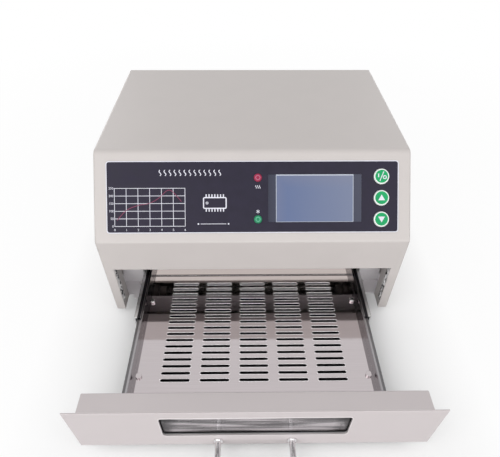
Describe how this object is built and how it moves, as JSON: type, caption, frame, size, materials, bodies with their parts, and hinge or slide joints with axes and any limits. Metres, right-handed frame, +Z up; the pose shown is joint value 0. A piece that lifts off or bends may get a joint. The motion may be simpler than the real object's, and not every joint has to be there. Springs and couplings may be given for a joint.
{
  "type": "reflow oven",
  "caption": "Bench-top infrared reflow oven: sloping control face, slotted tray in a pull-out windowed drawer, quartz heater tubes in the chamber, rear fan and mains inlet.",
  "frame": {"origin": "middle of the open oven's footprint, at bench level", "axes": "+X to the right of a user facing the oven, +Y from the drawer towards the back, +Z up"},
  "size_m": [0.313, 0.451, 0.172],
  "materials": {
    "body_paint": "satin",
    "drawer_paint": "satin",
    "overlay_film": "matt",
    "display_pane": "gloss",
    "display_body": "matt",
    "key_green": "satin",
    "lamp_red": "gloss",
    "lamp_green": "gloss",
    "polished_steel": "polished",
    "slide_zinc": "satin",
    "screw_steel": "polished",
    "handle_chrome": "polished",
    "guard_chrome": "polished",
    "window_pane": "gloss",
    "quartz": "gloss",
    "heating_wire": "matt",
    "ceramic": "matt",
    "fibre_mat": "matt",
    "foil": "crinkled",
    "black_rubber": "matt",
    "circuit_board": "satin",
    "board_pillar": "satin",
    "switch_plastic": "satin",
    "cable_grey": "satin",
    "transformer_core": "matt",
    "heat_sink": "anodised",
    "fan_plastic": "matt",
    "inlet_plastic": "satin"
  },
  "bodies": {
    "chassis": {"top_cover": "body_paint", "right_side_panel": "body_paint", "left_side_panel": "body_paint", "base_plate": "body_paint", "rear_panel": "body_paint", "front_bulkhead": "body_paint", "control_overlay": "overlay_film", "display_window": "display_pane", "display_module": "display_body", "heat_lamp": "lamp_red", "cool_lamp": "lamp_green", "chamber_right_wall": "polished_steel", "chamber_left_wall": "polished_steel", "chamber_rear_wall": "polished_steel", "chamber_roof": "polished_steel", "chamber_floor": "polished_steel", "right_tube_bracket": "polished_steel", "left_tube_bracket": "polished_steel", "right_slide_fixed": "slide_zinc", "left_slide_fixed": "slide_zinc", "case_screws": "screw_steel", "slide_screws": "screw_steel", "rear_screws": "screw_steel", "temperature_probes": "screw_steel", "fan_guard": "guard_chrome", "heater_tubes": "quartz", "heater_coils": "heating_wire", "tube_end_caps": "ceramic", "insulation_blanket": "fibre_mat", "cheek_foil_strips": "foil", "rubber_feet": "black_rubber", "control_board": "circuit_board", "power_board": "circuit_board", "board_standoffs": "board_pillar", "key_switches": "switch_plastic", "control_ribbon": "cable_grey", "transformer": "transformer_core", "triac_heatsink": "heat_sink", "fan_frame": "fan_plastic", "mains_inlet": "inlet_plastic", "switch_housing": "inlet_plastic"},
    "drawer": {"drawer_front_panel": "drawer_paint", "drawer_front_box": "drawer_paint", "window_gasket": "black_rubber", "window_glass": "window_pane", "window_frame": "polished_steel", "drawer_handle": "handle_chrome", "drawer_front_screws": "screw_steel", "drawer_tray": "polished_steel", "tray_screws": "screw_steel", "right_slide_moving": "slide_zinc", "left_slide_moving": "slide_zinc"},
    "right_slide_middle": {"right_slide_middle": "slide_zinc"},
    "left_slide_middle": {"left_slide_middle": "slide_zinc"},
    "power_key": {"power_key": "key_green"},
    "up_key": {"up_key": "key_green"},
    "down_key": {"down_key": "key_green"},
    "switch_rocker": {"switch_rocker": "inlet_plastic"},
    "fan_rotor": {"fan_rotor": "fan_plastic"}
  },
  "joints": [
    {"name": "drawer_slide", "type": "slide", "parent": "chassis", "child": "drawer", "axis": [0, 1, 0], "range_m": [0, 0.1563]},
    {"name": "right_middle_slide", "type": "slide", "parent": "chassis", "child": "right_slide_middle", "axis": [0, 1, 0], "range_m": [0, 0.0782]},
    {"name": "left_middle_slide", "type": "slide", "parent": "chassis", "child": "left_slide_middle", "axis": [0, 1, 0], "range_m": [0, 0.0782]},
    {"name": "power_key_press", "type": "slide", "parent": "chassis", "child": "power_key", "axis": [0, 0.7127, -0.7015], "range_m": [0, 0.0005], "stiffness_N_per_m": 400, "springref_m": -0.001},
    {"name": "up_key_press", "type": "slide", "parent": "chassis", "child": "up_key", "axis": [0, 0.7127, -0.7015], "range_m": [0, 0.0005], "stiffness_N_per_m": 400, "springref_m": -0.001},
    {"name": "down_key_press", "type": "slide", "parent": "chassis", "child": "down_key", "axis": [0, 0.7127, -0.7015], "range_m": [0, 0.0005], "stiffness_N_per_m": 400, "springref_m": -0.001},
    {"name": "switch_rock", "type": "hinge", "parent": "chassis", "child": "switch_rocker", "pos_m": [0.105, 0.22079, 0.084], "axis": [1, 0, 0], "range_deg": [0, 18]},
    {"name": "fan_spin", "type": "hinge", "parent": "chassis", "child": "fan_rotor", "pos_m": [0, 0.20709, 0.074], "axis": [0, 1, 0], "continuous": true}
  ],
  "couplings": [
    {"joint": "right_middle_slide", "follows": "drawer_slide", "ratio": 0.5},
    {"joint": "left_middle_slide", "follows": "drawer_slide", "ratio": 0.5}
  ]
}
